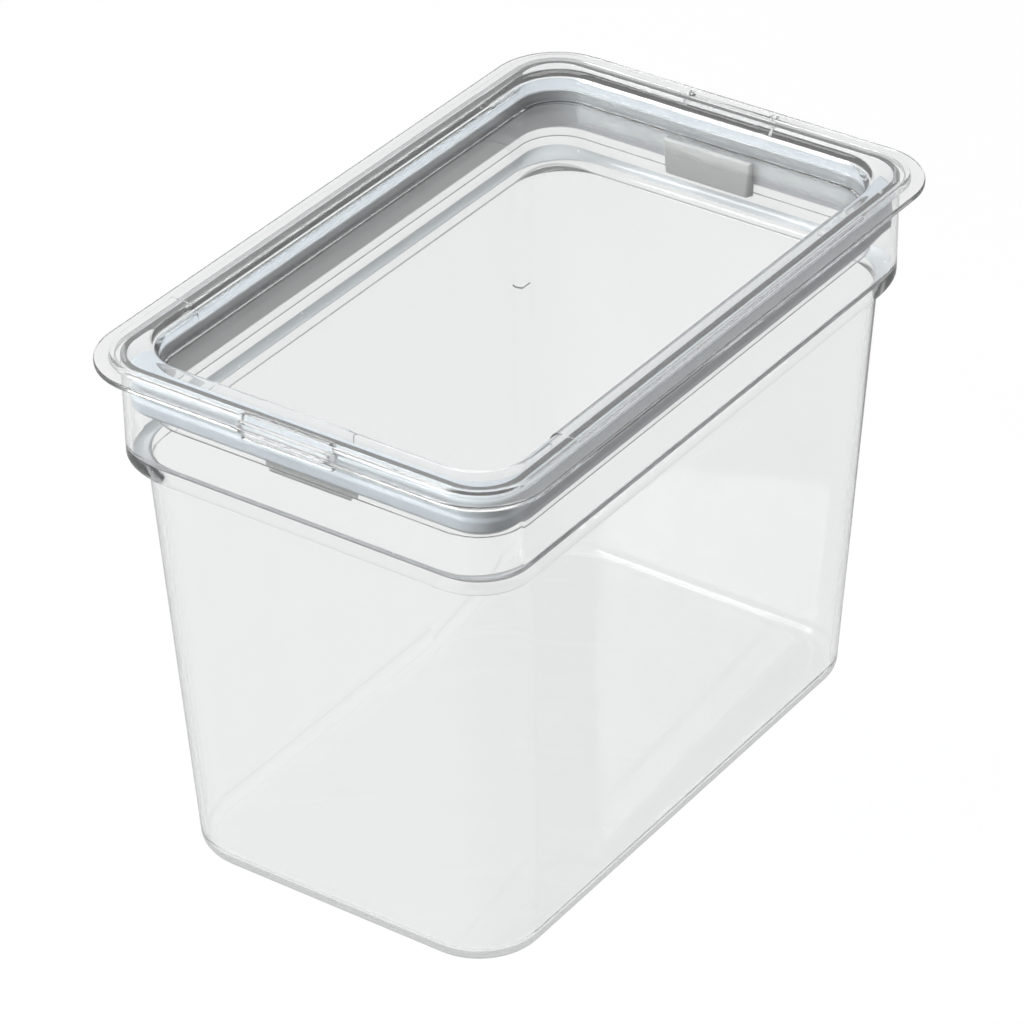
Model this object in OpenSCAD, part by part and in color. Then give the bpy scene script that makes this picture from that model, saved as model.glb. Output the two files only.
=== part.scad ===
// Rectangular food storage bin with a lift-off lid, a grey seal ring and two grey rim clips.
// Millimetres. X is the width, Y the length, Z up. The origin is the middle of the foot.
// The lid's section is written as distances inward from the flange's edge and heights above
// the flange's top face, so each feature of the section has one named place.

/* [Bin] */
// Outside length of the collar at the rim, front to back
collar_l = 236.6; // [180:0.1:320]
// Outside width of the collar at the rim
collar_w = 143.8; // [110:0.1:220]
// Outside corner radius of the collar
collar_r = 15; // [13.5:0.5:24]
// Height of the rim above the foot
rim_h = 183.7; // [120:0.1:300]
// Height of the collar, from the ledge to the rim
collar_h = 38.2; // [34:0.1:60]
// Thickness of the collar's wall
collar_t = 2.1; // [1.6:0.1:2.8]
// How much narrower the collar is at its foot, each side
collar_draft = 0; // [0:0.1:1.5]
// How far the ledge steps in from the collar, each side
ledge_in = 2.4; // [1.6:0.1:8]
// Height of the rounded turn from collar to ledge
ledge_turn = 5.4; // [3:0.1:12]
// How much higher the turn starts on the collar's inner face
turn_lift = 2.9; // [1:0.1:6]
// Height of the turn on the inner face
turn_inner = 3.3; // [2:0.1:8]
// Corner radius of the body just under the ledge
body_r = 22.4; // [16:0.2:30]
// Taper of the body's front and back walls, each side, over its height
taper_l = 8.3; // [0:0.1:14]
// Taper of the body's long side walls, each side, over its height
taper_w = 6.3; // [0:0.1:12]
// Thickness of the body's wall
body_t = 2.1; // [1.6:0.1:3.2]
// Thickness of the floor
floor_t = 3; // [2:0.1:5]
// Rounding between the walls and the foot
foot_r = 4.6; // [3.4:0.1:8]
// Rounding between the walls and the floor inside
floor_r = 3.6; // [2:0.1:7]

/* [Lid] */
// How far the flange reaches out past the collar, each side
overhang = 8.1; // [7.8:0.1:12]
// Thickness of the flange and of the crown
flange_t = 1.9; // [1.4:0.1:2.4]
// Distance from the flange's edge to the raised ridge
ridge_in = 4.7; // [3.8:0.1:5]
// Radius of the ridge's rounded inner shoulder
shoulder_r = 4.2; // [3:0.1:5]
// Depth of the recessed panel below the flange's top face
panel_depth = 8; // [6:0.1:12]
// Thickness of the panel
panel_t = 1.9; // [1.4:0.1:3]
// Depth of the skirt below the flange's top face
skirt_depth = 22.5; // [20:0.1:32]
// Thickness of the skirt behind the seal
skirt_t = 1.6; // [1.2:0.1:2.4]
// Free space between collar and skirt above the seal
skirt_gap = 1.2; // [0.8:0.1:2]
// Depth of the seal's groove in the skirt
groove_depth = 1.2; // [0.8:0.1:2]
// Height of the skirt's rim below the seal
skirt_rim_h = 1.9; // [1.4:0.1:4]
// Height of the bead along the panel's edge
bead_h = 0.4; // [0.2:0.1:1]
// Width of the bead along the panel's edge
bead_w = 2.7; // [1.4:0.1:4]
// Length of the plain ridge at each end of a long side
ridge_end = 47; // [30:1:60]
// Step between the plain ridge and its thicker middle stretch
ridge_step = 0.45; // [0.2:0.05:0.8]
// Step of the thicker crown behind each grip pocket
window_step = 0.3; // [0.1:0.05:0.6]
// Diameter of the moulding gate's mark in the panel
gate_d = 5.5; // [3:0.5:8]

/* [Grip pockets] */
// Length of the stepped pocket in the middle of each short side
grip_l = 31; // [20:1:50]
// Number of steps in a pocket
grip_steps = 3; // [2:1:4]
// Rise of one step
grip_rise = 2.1; // [1.2:0.1:2.4]
// Skin of the pocket
grip_t = 1; // [0.8:0.1:1.4]

/* [Seal] */
// How far the seal's body stands out of its groove
seal_out = 0.2; // [0:0.1:0.5]
// Height of the broad lower lip
seal_lip_h = 6.5; // [4:0.1:8]
// Thickness of the narrow upper lip
seal_fin_t = 1; // [0.6:0.1:1.6]

/* [Rim clips] */
// Width of a clip
clip_w = 33.7; // [20:0.1:50]
// Height of a clip's face
clip_h = 12.8; // [8:0.1:14]
// Depth of a clip from the skirt inwards
clip_d = 6.4; // [3:0.1:8]
// Thickness of the clip's foot under the skirt's rim
clip_foot_t = 0.8; // [0.6:0.1:2.5]
// Bevel along the clip's edges
clip_bevel = 0.8; // [0.4:0.1:1.5]
// Side draft of the clip, each side
clip_draft = 1.3; // [0:0.1:2]

/* [Fits] */
// Clearance between the rim and the lid's crown, and round the seal
seat_gap = 0.3; // [0.2:0.05:0.6]
// Clearance between the seal and its groove
seal_gap = 0.1; // [0.05:0.05:0.3]
// Clearance between a clip and the skirt
clip_gap = 0.1; // [0.05:0.05:0.3]

/* [Hidden] */
// Facets of the bin's corners, per quarter turn, and of its rounded edges
corner_n = 12;
edge_n = 6;
// Facets of the lid section's small edges and of its shoulder, per quarter turn
bend_n = 4;
shoulder_n = 10;
$fn = 64;
// Small overlap that joins two bodies of one piece
weld = 0.4;

// Body under the ledge
body_l = collar_l - 2 * (ledge_in + collar_draft);
body_w = collar_w - 2 * (ledge_in + collar_draft);
ledge_z = rim_h - collar_h;
turn_z = ledge_z + ledge_turn;
// Rounding of the bin's rim
rim_edge = 0.5;

// Lid outline: flange rectangle and its corner radius
lid_l = collar_l + 2 * overhang;
lid_w = collar_w + 2 * overhang;
lid_r = collar_r + overhang;
// Height of the flange's top face: the crown's underside lies on the rim with its clearance
lid_z = rim_h + seat_gap;

// Places in the lid's section, inward from the flange's edge
edge_r = 0.6;
collar_in = overhang + collar_t;
skirt_out = collar_in + skirt_gap;
groove_in = skirt_out + groove_depth;
skirt_in = groove_in + skirt_t;
shoulder_back = 2;
shoulder_in = skirt_in - shoulder_back;
wall_back = 1.2;
wall_foot_in = skirt_in - wall_back;
panel_lap = 0.8;
panel_in = skirt_in + panel_lap;
channel_in = ridge_in + flange_t;
// Small bevel in the section's inner corners
ease = 0.3;
// Lean and rounding of the ridge's outer face
ridge_lean = 0.2;
ridge_edge_r = 0.9;
// Upper end of the thicker crown on the shoulder's arc, in degrees
pad_angle = 78;
// Heights in the lid's section
panel_z = -panel_depth;
panel_under_z = panel_z - panel_t;
groove_top_z = panel_under_z;
groove_foot_z = -skirt_depth + skirt_rim_h;
rim_foot_r = 0.5;
// How far the skirt's rim stands back under the seal
rim_back = 0.4;

// Seal
seal_root = groove_in - seal_gap;
seal_face = skirt_out - seal_out;
seal_tip = collar_in + collar_draft * skirt_depth / (rim_h - turn_z) + seat_gap;
seal_top_z = groove_top_z - seal_gap;
seal_foot_z = groove_foot_z + seal_gap;
// Distance of the upper lip from the seal's top, and the height of its root below it
fin_drop = 1;
fin_root = 0.4;
// Height of the slope above the lower lip, and the bevel of its foot
lip_rise = 0.8;
lip_edge = 0.6;

// Grip pocket: the steps share the space between ridge and collar
grip_lead = 0.3;
grip_start = ridge_in - grip_lead;
grip_room = overhang - seat_gap - grip_t - grip_start;
grip_run = grip_room / grip_steps;

// Rim clip
clip_foot_z = -skirt_depth - clip_gap - clip_foot_t;
// How far the clip's foot stays back from the skirt's outer face, and how much narrower it is
clip_back = 0.9;
clip_foot_less = 1;
// How far the tools that cut the bevels reach past the clip
cut_over = 4;

// Points of an arc about [cx, cy] from angle a0 to a1
function arc(cx, cy, r, a0, a1, n) =
    [for (i = [0:n]) let (a = a0 + (a1 - a0) * i / n) [cx + r * cos(a), cy + r * sin(a)]];

function mix(a, b, t) = a + (b - a) * t;

function reversed(list) = [for (i = [len(list) - 1:-1:0]) list[i]];

// One closed ring of the bin: a rounded rectangle at height z, drawn in by "inset" all round
function ring(l, w, r, z, inset = 0) =
    let (rr = r - inset, hx = w / 2 - r, hy = l / 2 - r)
    [for (q = [0:3], i = [0:corner_n])
        let (a = 90 * q + 90 * i / corner_n,
             sx = (q == 0 || q == 3) ? 1 : -1,
             sy = (q < 2) ? 1 : -1)
        [sx * hx + rr * cos(a), sy * hy + rr * sin(a), z]];

// Ring of the tapered body at a height between foot and ledge
function body_ring(z, inset = 0) =
    let (t = 1 - z / ledge_z)
    ring(body_l - 2 * taper_l * t, body_w - 2 * taper_w * t, body_r, z, inset);

// Ring of the collar at a height between turn and rim
function collar_ring(z, inset = 0) =
    let (t = (rim_h - z) / (rim_h - turn_z))
    ring(collar_l, collar_w, collar_r, z, inset + collar_draft * t);

// Rounded foot edge of the given radius, from the flat of the foot up the wall
function foot_rings(r, z0, inset) =
    [for (i = [0:edge_n]) let (a = 90 * i / edge_n)
        body_ring(z0 + r * (1 - cos(a)), inset + r * (1 - sin(a)))];

// Rounded turn between body and collar, from its foot up to where the plain collar starts
function turn_rings(inset_top, inset_foot, top_z, height) =
    [for (i = [0:edge_n])
        let (a = 90 * (1 - i / edge_n), t = 1 - cos(a))
        ring(mix(collar_l - 2 * collar_draft, body_l, t), mix(collar_w - 2 * collar_draft, body_w, t),
             mix(collar_r, body_r, t), top_z - height * sin(a),
             mix(inset_top, inset_foot, t))];

// Skin through closed rings of equal point counts, closed by a flat face at each end
module loft(rings) {
    n = len(rings[0]);
    m = len(rings);
    skin = [for (k = [0:m - 2], i = [0:n - 1])
        let (a = k * n + i, b = k * n + (i + 1) % n)
        each [[a, a + n, b], [b, a + n, b + n]]];
    first = [[for (i = [0:n - 1]) i]];
    last = [[for (i = [n - 1:-1:0]) (m - 1) * n + i]];
    polyhedron(points = [for (k = rings, p = k) p], faces = concat(first, skin, last), convexity = 6);
}

module bin() {
    outer = concat(
        foot_rings(foot_r, 0, 0),
        turn_rings(0, 0, turn_z, ledge_turn),
        [collar_ring(rim_h - rim_edge), collar_ring(rim_h, rim_edge)]);
    inner = concat(
        [collar_ring(rim_h, collar_t - rim_edge / 2), collar_ring(rim_h - rim_edge, collar_t)],
        reversed(turn_rings(collar_t, body_t, turn_z + turn_lift, turn_inner)),
        reversed(foot_rings(floor_r, floor_t, body_t)));
    color("white", 0.3) loft(concat(outer, inner));
}

// A section swept round the lid's outline. The section's X runs outward from the corner's axis.
module round_lid() {
    for (q = [0:3]) {
        sx = (q == 0 || q == 3) ? 1 : -1;
        sy = (q < 2) ? 1 : -1;
        translate([sx * (lid_w / 2 - lid_r), sy * (lid_l / 2 - lid_r), 0])
            rotate([0, 0, 90 * q])
                rotate_extrude(angle = 90) children();
    }
    for (turn = [0, 180])
        rotate([0, 0, turn])
            translate([lid_w / 2 - lid_r, 0, 0]) run_along(lid_l - 2 * lid_r) children();
    for (turn = [90, 270])
        rotate([0, 0, turn])
            translate([lid_l / 2 - lid_r, 0, 0]) run_along(lid_w - 2 * lid_r) children();
}

// A section run straight along Y, centred
module run_along(length) {
    rotate([90, 0, 0]) linear_extrude(length, center = true) children();
}

// Section polygon from points given as [inward distance, height]
module section(points) {
    polygon([for (p = points) [lid_r - p[0], p[1]]]);
}

// Rounded rectangle with exact corners, as large as the lid drawn in by "inset"
module lid_outline(inset) {
    r = lid_r - inset;
    square([lid_w - 2 * inset, lid_l - 2 * lid_r], center = true);
    square([lid_w - 2 * lid_r, lid_l - 2 * inset], center = true);
    for (sx = [-1, 1], sy = [-1, 1])
        translate([sx * (lid_w / 2 - lid_r), sy * (lid_l / 2 - lid_r)]) circle(r);
}

// Flange, ridge, shoulder, recess wall and skirt as one section
module lid_section() {
    crown_z = flange_t;
    shoulder_cx = shoulder_in - shoulder_r;
    section(concat(
        arc(edge_r, -flange_t + edge_r, edge_r, 270, 180, bend_n),
        arc(edge_r, -edge_r, edge_r, 180, 90, bend_n),
        [[ridge_in, 0]],
        arc(ridge_in + ridge_lean + ridge_edge_r, crown_z - ridge_edge_r, ridge_edge_r, 180, 90, bend_n),
        arc(shoulder_cx, crown_z - shoulder_r, shoulder_r, 90, 0, shoulder_n),
        [[wall_foot_in, panel_z + ease], [wall_foot_in + ease, panel_z]],
        [[panel_in + weld, panel_z], [panel_in + weld, panel_under_z]],
        [[skirt_in + ease, panel_under_z], [skirt_in, panel_under_z - ease]],
        arc(skirt_in - rim_foot_r, -skirt_depth + rim_foot_r, rim_foot_r, 0, -90, bend_n),
        arc(skirt_out + rim_foot_r + rim_back, -skirt_depth + rim_foot_r, rim_foot_r, 270, 180, bend_n),
        [[skirt_out + rim_back, groove_foot_z], [groove_in, groove_foot_z]],
        [[groove_in, groove_top_z], [skirt_out, groove_top_z]],
        [[skirt_out, -ease], [skirt_out - ease, 0]],
        [[channel_in + ease, 0], [channel_in, -ease], [channel_in, -flange_t]]));
}

// Thicker crown over the shoulder, "step" higher than the plain one
module ridge_pad_section(step) {
    shoulder_cx = shoulder_in - shoulder_r;
    shoulder_cz = flange_t - shoulder_r;
    section(concat(
        arc(shoulder_cx, shoulder_cz, shoulder_r + step, pad_angle, 0, shoulder_n),
        arc(shoulder_cx, shoulder_cz, shoulder_r - weld, 0, pad_angle, shoulder_n)));
}

// Corners of a grip pocket's stairs from the flange down, as large as the hollow grown by "skin"
function stairs(skin) =
    let (start = grip_start - skin)
    [for (k = [0:grip_steps - 1]) each concat(
        k == 0 ? [] : [[start + k * grip_run, -k * grip_rise - skin]],
        [[start + k * grip_run, -(k + 1) * grip_rise - skin]])];

// Outside of a stepped grip pocket, which hangs under the flange and joins the crown behind it
module grip_skin_section() {
    foot_z = -grip_steps * grip_rise - grip_t;
    stop = grip_start + grip_room + grip_t;
    joint_z = -flange_t + weld;
    section(concat([[grip_start - grip_t, joint_z]], stairs(grip_t),
        [[stop, foot_z], [stop, weld], [channel_in, weld], [channel_in, joint_z]]));
}

// Hollow of a stepped grip pocket, open at the top through the ridge
module grip_hollow_section() {
    foot_z = -grip_steps * grip_rise;
    stop = grip_start + grip_room;
    open_z = flange_t + window_step + weld;
    section(concat([[grip_start, open_z]], stairs(0), [[stop, foot_z], [stop, open_z]]));
}

// Copies of a section run along the middle of both short sides of the lid
module on_short_sides(length) {
    for (turn = [90, 270])
        rotate([0, 0, turn])
            translate([lid_l / 2 - lid_r, 0, 0]) run_along(length) children();
}

module lid() {
    color("white", 0.3) translate([0, 0, lid_z]) {
        difference() {
            union() {
                round_lid() lid_section();
                translate([0, 0, panel_under_z]) linear_extrude(panel_t) lid_outline(panel_in);
                for (turn = [0, 180])
                    rotate([0, 0, turn])
                        translate([lid_w / 2 - lid_r, 0, 0])
                            run_along(lid_l - 2 * ridge_end) ridge_pad_section(ridge_step);
                on_short_sides(grip_l + 2 * grip_t) ridge_pad_section(window_step);
                on_short_sides(grip_l + 2 * grip_t) grip_skin_section();
            }
            on_short_sides(grip_l) grip_hollow_section();
        }
        bead_end = wall_foot_in + bead_w;
        round_lid() section([
            [wall_foot_in - weld, panel_z - weld], [wall_foot_in - weld, panel_z + bead_h],
            [bead_end, panel_z + bead_h], [bead_end, panel_z - weld]]);
        translate([0, 0, panel_z - weld]) cylinder(d = gate_d, h = weld + bead_h);
    }
}

module gasket() {
    color([0.55, 0.58, 0.6]) translate([0, 0, lid_z])
        round_lid() section(concat(
            [[seal_root, seal_top_z], [seal_face, seal_top_z]],
            arc(seal_tip + seal_fin_t / 2, seal_top_z - fin_drop - seal_fin_t / 2, seal_fin_t / 2, 90, 270, edge_n),
            [[seal_face, seal_top_z - fin_drop - fin_root - seal_fin_t]],
            [[seal_face, seal_foot_z + seal_lip_h + lip_rise], [seal_tip, seal_foot_z + seal_lip_h]],
            [[seal_tip, seal_foot_z + lip_edge], [seal_tip + lip_edge, seal_foot_z]],
            [[seal_root, seal_foot_z]]));
}

// Clip on the skirt's rim: a bevelled block inside the skirt with a foot under the rim
module clip() {
    back_y = lid_l / 2 - skirt_in - clip_gap;
    foot_y = lid_l / 2 - skirt_out - clip_back;
    top_z = clip_foot_z + clip_h;
    b = clip_bevel;
    color([0.64, 0.66, 0.66]) translate([0, 0, lid_z]) {
        difference() {
            translate([0, back_y, 0]) rotate([90, 0, 0]) linear_extrude(clip_d)
                polygon([[-clip_w / 2 + clip_draft, clip_foot_z], [clip_w / 2 - clip_draft, clip_foot_z],
                    [clip_w / 2, top_z], [-clip_w / 2, top_z]]);
            for (z = [clip_foot_z, top_z])
                translate([0, back_y - clip_d, z]) rotate([45, 0, 0])
                    cube([clip_w + cut_over, b * sqrt(2), b * sqrt(2)], center = true);
            for (sx = [-1, 1])
                translate([sx * (clip_w - clip_draft) / 2, back_y - clip_d, (clip_foot_z + top_z) / 2])
                    rotate([0, -sx * atan(clip_draft / clip_h), 45])
                        cube([b * sqrt(2), b * sqrt(2), clip_h + cut_over], center = true);
        }
        translate([0, (foot_y + back_y) / 2 - weld / 2, clip_foot_z + clip_foot_t / 2])
            cube([clip_w - 2 * clip_draft - clip_foot_less, foot_y - back_y + weld, clip_foot_t], center = true);
    }
}

module clip_front() {
    mirror([0, 1, 0]) clip();
}

module clip_rear() {
    clip();
}

bin();
lid();
gasket();
clip_front();
clip_rear();
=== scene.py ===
"""Looks of a clear storage bin with a lift-off lid, a grey seal ring and two grey rim clips.

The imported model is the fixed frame. Each sub-assembly is a class that holds its sizes, builds its
meshes and dresses them. Lengths in the classes are millimetres and every mesh is written in metres,
in the frame's own axes: X across the width, Y towards the rear, Z up from the foot.
"""

from __future__ import annotations

import logging
import math
from dataclasses import dataclass, field
from enum import Enum
from typing import Callable, Iterable, NamedTuple, Sequence

import bmesh
import bpy
from mathutils import Matrix, Vector

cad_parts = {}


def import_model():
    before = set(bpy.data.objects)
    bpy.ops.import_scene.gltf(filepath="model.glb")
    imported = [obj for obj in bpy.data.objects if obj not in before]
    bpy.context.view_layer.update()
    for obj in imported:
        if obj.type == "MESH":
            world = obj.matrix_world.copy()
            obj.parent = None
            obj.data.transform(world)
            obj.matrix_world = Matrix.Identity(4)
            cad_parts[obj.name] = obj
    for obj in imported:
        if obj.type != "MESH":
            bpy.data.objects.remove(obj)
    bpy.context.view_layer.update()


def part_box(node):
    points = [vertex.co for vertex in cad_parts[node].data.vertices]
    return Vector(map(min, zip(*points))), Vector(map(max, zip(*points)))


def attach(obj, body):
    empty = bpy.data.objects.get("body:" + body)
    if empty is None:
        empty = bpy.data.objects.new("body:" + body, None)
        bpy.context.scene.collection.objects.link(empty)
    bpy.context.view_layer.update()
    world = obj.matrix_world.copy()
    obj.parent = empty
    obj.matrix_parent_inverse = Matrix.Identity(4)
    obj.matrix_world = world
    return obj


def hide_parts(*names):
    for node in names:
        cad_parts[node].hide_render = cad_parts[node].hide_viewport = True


LOG = logging.getLogger("storage_bin")
MM = 0.001

Triple = tuple[float, float, float]


class Stretch(Enum):
    """Which section the lid has at a place on its outline."""

    PLAIN = "plain"
    PAD = "pad"
    GRIP = "grip"


class Side(Enum):
    """Short side of the bin that a clip hangs on, as the sign of its Y."""

    FRONT = -1
    REAR = 1


# ---------------------------------------------------------------------------------------------
# Outlines and sections
# ---------------------------------------------------------------------------------------------


@dataclass(frozen=True)
class Corner:
    """One corner of a section.

    Attributes:
        inset: distance inward from the outline, in millimetres.
        height: height in the section's own zero, in millimetres.
        cut: how far the rounding reaches along both neighbours.
        steps: number of edges in the rounding.
    """

    inset: float
    height: float
    cut: float = 0.2
    steps: int = 2


def rounded(corners: Sequence[Corner]) -> list[tuple[float, float]]:
    """Rounds a section's corners with arcs.

    Args:
        corners: the section's corners in order; the first and last stay as they are.

    Returns:
        Points as (inset, height). Their number depends only on the corners' steps.
    """
    points: list[tuple[float, float]] = []
    last = len(corners) - 1
    for index, corner in enumerate(corners):
        here = Vector((corner.inset, corner.height))
        if index in (0, last):
            points.append((here.x, here.y))
            continue
        before = Vector((corners[index - 1].inset, corners[index - 1].height)) - here
        after = Vector((corners[index + 1].inset, corners[index + 1].height)) - here
        start = here + before.normalized() * corner.cut
        end = here + after.normalized() * corner.cut
        turn = math.pi - before.angle(after)
        weight = math.cos(turn / 2)
        for step in range(corner.steps + 1):
            t = step / corner.steps
            a, b, c = (1 - t) ** 2, 2 * weight * t * (1 - t), t * t
            place = (start * a + here * b + end * c) / (a + b + c)
            points.append((place.x, place.y))
    return points


@dataclass(frozen=True)
class Station:
    """A place on a rounded rectangle where every ring of a shell has one vertex.

    Attributes:
        side_x: sign of the corner in X, or 0 where the place slides along X.
        side_y: sign of the corner in Y, or 0 where the place slides along Y.
        angle: direction of the outline's outward normal.
        slide: coordinate along a straight side, in millimetres, or None in a corner.
        top: the section of the upper face here.
        under: the section of the lower face here.
    """

    side_x: int
    side_y: int
    angle: float
    slide: float | None = None
    top: Stretch = Stretch.PLAIN
    under: Stretch = Stretch.PLAIN


@dataclass(frozen=True)
class Outline:
    """A rounded rectangle, in millimetres, centred on the frame's Z axis."""

    width: float
    length: float
    radius: float

    def point(self, station: Station, inset: float, height: float) -> Vector:
        """Gives a point of the outline drawn in by an inset.

        Args:
            station: where on the outline.
            inset: distance inward, in millimetres.
            height: Z in millimetres.

        Returns:
            The point in metres.
        """
        half_x = self.width / 2 - self.radius
        half_y = self.length / 2 - self.radius
        x = station.side_x * half_x if station.slide is None or station.side_x else station.slide
        y = station.side_y * half_y if station.slide is None or station.side_y else station.slide
        reach = self.radius - inset
        x += reach * math.cos(station.angle)
        y += reach * math.sin(station.angle)
        return Vector((x, y, height)) * MM

    def depth(self, place: Vector) -> float:
        """Gives how far inside the outline a point lies.

        Args:
            place: the point in metres.

        Returns:
            The distance inward, in millimetres.
        """
        out_x = abs(place.x) / MM - (self.width / 2 - self.radius)
        out_y = abs(place.y) / MM - (self.length / 2 - self.radius)
        reach = math.hypot(out_x, out_y) if out_x > 0 and out_y > 0 else max(out_x, out_y)
        return self.radius - reach

    def round_point(self, station: Station, radius: float, height: float) -> Vector:
        """Gives a station's point on a circle about the frame's Z axis.

        Args:
            station: where on the outline; its direction from the axis is kept.
            radius: the circle's radius, in millimetres.
            height: Z in millimetres.

        Returns:
            The point in metres.
        """
        out = self.point(station, 0.0, 0.0).normalized() * radius
        return Vector((out.x, out.y, height)) * MM


class Ring(NamedTuple):
    """One ring of a shell: an outline drawn in by an inset, at a height, in millimetres."""

    outline: Outline
    inset: float
    height: float

    def point(self, station: Station, zero: float = 0.0) -> Vector:
        """Gives a station's point on the ring, in metres, with the height from a zero."""
        return self.outline.point(station, self.inset, zero + self.height)


def rings_on(outline: Outline, corners: Sequence[Corner]) -> list[Ring]:
    """Rounds a section's corners and ties each point to an outline."""
    return [Ring(outline, inset, height) for inset, height in rounded(corners)]


def corner_stations(quarter: int, steps: int) -> list[Station]:
    """Lists the stations of one corner.

    Args:
        quarter: which corner, anticlockwise from the one at +X +Y.
        steps: number of edges round the corner.

    Returns:
        The stations in order, both ends included.
    """
    side_x = 1 if quarter in (0, 3) else -1
    side_y = 1 if quarter < 2 else -1
    return [
        Station(side_x, side_y, math.radians(90 * (quarter + step / steps)))
        for step in range(steps + 1)
    ]


def all_corners(steps: int) -> list[Station]:
    """Lists the stations of all four corners, with that many edges round each."""
    return [station for quarter in range(4) for station in corner_stations(quarter, steps)]


def side_stations(quarter: int, places: Sequence[tuple[float, Stretch, Stretch]]) -> list[Station]:
    """Lists the extra stations on the straight side that follows a corner.

    Args:
        quarter: the corner that the side follows.
        places: (distance from the side's middle, top section, under section), outermost first.

    Returns:
        The stations in order, the same on both halves of the side.
    """
    angle = math.radians(90 * (quarter + 1))
    side_x = round(math.cos(angle))
    side_y = round(math.sin(angle))
    forward = -1 if quarter in (0, 1) else 1
    found = [(-forward * d, top, under) for d, top, under in places]
    found += [(forward * d, top, under) for d, top, under in reversed(places)]
    return [Station(side_x, side_y, angle, slide, top, under) for slide, top, under in found]


class RingLoft:
    """A shell that grows from one circle of edges by extruding it, ring after ring."""

    def __init__(self, stations: Sequence[Station]) -> None:
        """Starts the shell with one vertex for each station.

        Args:
            stations: the places round the shell, in order.
        """
        self.stations = list(stations)
        self.mesh = bmesh.new()
        self.slot = self.mesh.verts.layers.int.new("station")
        bmesh.ops.create_circle(
            self.mesh, cap_ends=False, segments=len(self.stations), radius=1.0
        )
        for index, vert in enumerate(self.mesh.verts):
            vert[self.slot] = index
        self.ring = list(self.mesh.edges)
        self.first = list(self.ring)
        self.started = False

    def grow(self, place: Callable[[Station], Vector]) -> None:
        """Adds a ring.

        Args:
            place: gives each station's point in metres.
        """
        if self.started:
            made = bmesh.ops.extrude_edge_only(self.mesh, edges=self.ring)["geom"]
            verts = {g for g in made if isinstance(g, bmesh.types.BMVert)}
            edges = [g for g in made if isinstance(g, bmesh.types.BMEdge)]
            self.ring = [e for e in edges if e.verts[0] in verts and e.verts[1] in verts]
        else:
            verts = set(self.mesh.verts)
            self.started = True
        for vert in verts:
            vert.co = place(self.stations[vert[self.slot]])

    def grow_all(self, rings: Iterable[Ring], zero: float = 0.0) -> None:
        """Adds rings that are the same all round.

        Args:
            rings: the rings in order.
            zero: Z of the rings' own zero, in millimetres.
        """
        for ring in rings:
            self.grow(lambda station, r=ring: r.point(station, zero))

    def cap(self) -> bmesh.types.BMesh:
        """Closes the first and the last ring with a flat face each.

        Returns:
            The finished mesh.
        """
        bmesh.ops.edgeloop_fill(self.mesh, edges=self.first)
        bmesh.ops.edgeloop_fill(self.mesh, edges=self.ring)
        return self.closed()

    def join(self) -> bmesh.types.BMesh:
        """Joins the last ring to the first, for a section that closes on itself."""
        bmesh.ops.bridge_loops(self.mesh, edges=self.first + self.ring)
        return self.closed()

    def closed(self) -> bmesh.types.BMesh:
        """Turns every face outwards and returns the mesh."""
        bmesh.ops.recalc_face_normals(self.mesh, faces=self.mesh.faces)
        return self.mesh


# ---------------------------------------------------------------------------------------------
# Shader node groups and finishes
# ---------------------------------------------------------------------------------------------


class Nodes:
    """Small helper that adds and wires shader nodes in one tree."""

    def __init__(self, tree: bpy.types.NodeTree) -> None:
        """Keeps the tree."""
        self.tree = tree

    @classmethod
    def of(cls, owner: bpy.types.Material | bpy.types.World) -> Nodes:
        """Empties a node tree to start it anew.

        Args:
            owner: the material or world whose tree it is.

        Returns:
            A helper on that tree.
        """
        owner.use_nodes = True
        owner.node_tree.nodes.clear()
        return cls(owner.node_tree)

    def add(self, kind: str, inputs: dict | None = None, **settings: object) -> bpy.types.Node:
        """Adds a node.

        Args:
            kind: the node's Blender type name.
            inputs: input socket name or index to a plain value or to an output socket.
            settings: the node's own properties.

        Returns:
            The node.
        """
        node = self.tree.nodes.new(kind)
        for name, value in settings.items():
            setattr(node, name, value)
        for key, value in (inputs or {}).items():
            if isinstance(value, bpy.types.NodeSocket):
                self.tree.links.new(value, node.inputs[key])
            else:
                node.inputs[key].default_value = value
        return node

    def math(self, operation: str, first: object, second: object) -> bpy.types.NodeSocket:
        """Adds a Math node on two values or sockets and gives its result."""
        return self.add("ShaderNodeMath", {0: first, 1: second}, operation=operation).outputs[0]


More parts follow.
